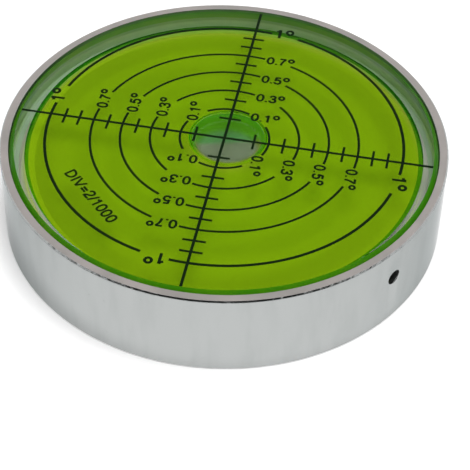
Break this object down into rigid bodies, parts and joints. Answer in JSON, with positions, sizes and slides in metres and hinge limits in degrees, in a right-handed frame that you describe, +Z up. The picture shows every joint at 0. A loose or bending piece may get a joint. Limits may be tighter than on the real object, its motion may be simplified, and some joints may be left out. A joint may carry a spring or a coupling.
{
  "type": "bullseye level",
  "caption": "Round bullseye level: a vial of green fluid with a printed ring dial, bonded into a turned aluminium cup, shows tilt in every direction at once.",
  "frame": {"origin": "centre of the flat base face", "axes": "+Z up through the dial; the arms of the crosshair lie along X and Y"},
  "size_m": [0.06, 0.06, 0.0125],
  "materials": {
    "turned_aluminium": "fine turned and polished, clear anodised",
    "clear_acrylic": "polished, clear",
    "green_fluid": "clear yellow-green liquid",
    "clear_adhesive": "clear cured adhesive",
    "black_rubber": "matte",
    "black_ink": "screen print"
  },
  "bodies": {
    "root": {"housing": "turned_aluminium", "vial_body": "clear_acrylic", "vial_base": "clear_acrylic", "level_fluid": "green_fluid", "fill_plug": "black_rubber", "bond_film": "clear_adhesive", "dial_print": "black_ink"}
  },
  "joints": []
}
